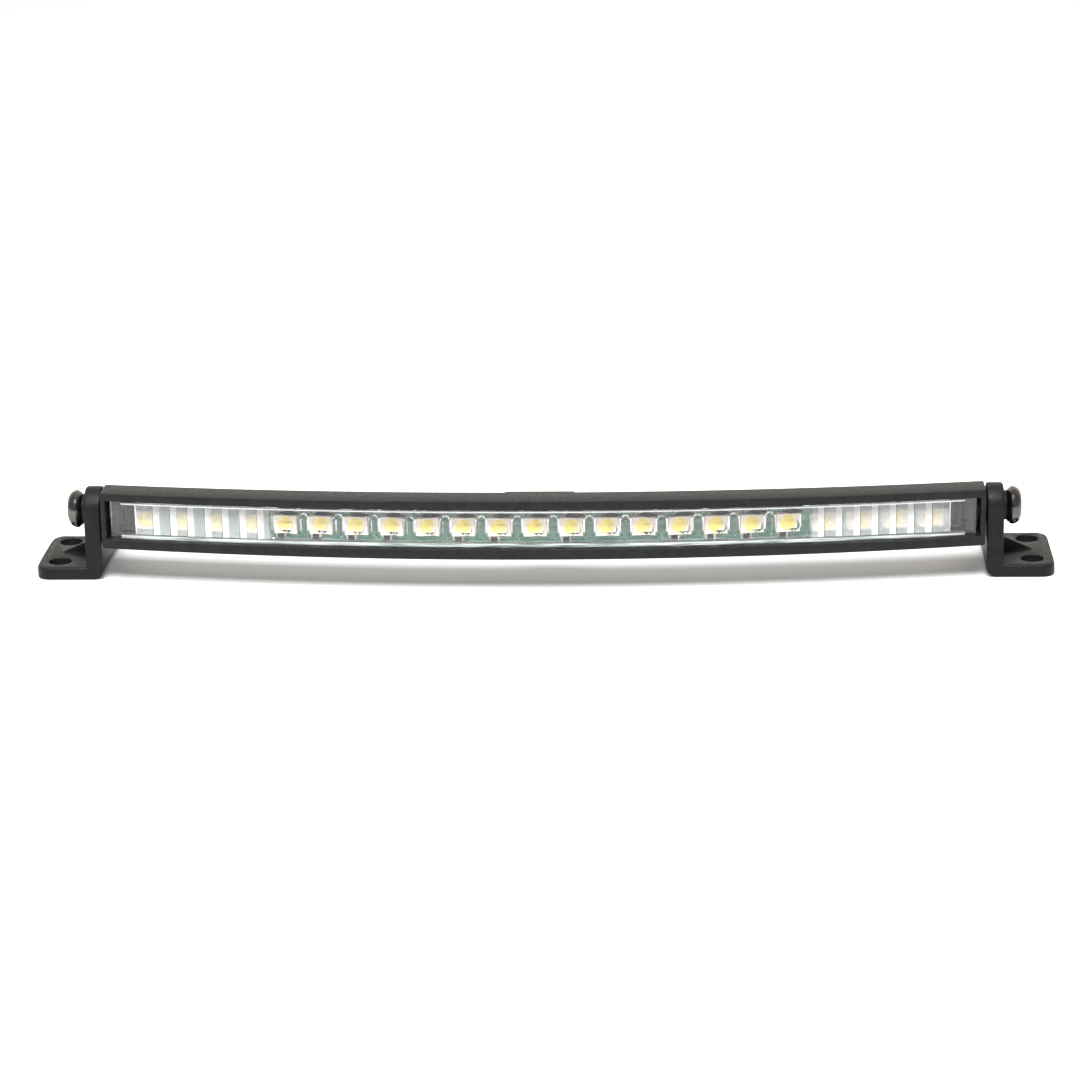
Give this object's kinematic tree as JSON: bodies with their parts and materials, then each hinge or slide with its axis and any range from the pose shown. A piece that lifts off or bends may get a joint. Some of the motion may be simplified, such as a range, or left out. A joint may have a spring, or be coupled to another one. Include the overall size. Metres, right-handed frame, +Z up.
{
  "type": "led light bar",
  "caption": "Slim curved led light bar with a clear ribbed lens, tilting on two bolt-down end brackets.",
  "frame": {"origin": "centre of the four foot holes, on the plane under the feet", "axes": "+X along the bar, +Y to the rear of the bar, +Z up; the light shines towards -Y"},
  "size_m": [0.1524, 0.0229, 0.0141],
  "materials": {
    "housing_plastic": "fine-grained black moulding",
    "bracket_plastic": "fine-grained black moulding",
    "clear_lens": "clear polished moulding",
    "circuit_board": "green solder mask",
    "led_package": "white frame with a yellow phosphor well",
    "resistor": "black chip with tinned ends",
    "screw_steel": "black oxide, glossy"
  },
  "bodies": {
    "brackets": {"left_bracket": "bracket_plastic", "right_bracket": "bracket_plastic"},
    "light_bar": {"housing": "housing_plastic", "lens": "clear_lens", "led_board": "circuit_board", "chip_resistors": "resistor", "left_pivot_screw": "screw_steel", "right_pivot_screw": "screw_steel", "led_01": "led_package", "led_02": "led_package", "led_03": "led_package", "led_04": "led_package", "led_05": "led_package", "led_06": "led_package", "led_07": "led_package", "led_08": "led_package", "led_09": "led_package", "led_10": "led_package", "led_11": "led_package", "led_12": "led_package", "led_13": "led_package", "led_14": "led_package", "led_15": "led_package", "led_16": "led_package", "led_17": "led_package", "led_18": "led_package", "led_19": "led_package", "led_20": "led_package", "led_21": "led_package", "led_22": "led_package", "led_23": "led_package"}
  },
  "joints": [
    {"name": "tilt", "type": "hinge", "parent": "brackets", "child": "light_bar", "pos_m": [0, -0.0047, 0.0102], "axis": [-1, 0, 0], "range_deg": [-35, 90]}
  ]
}
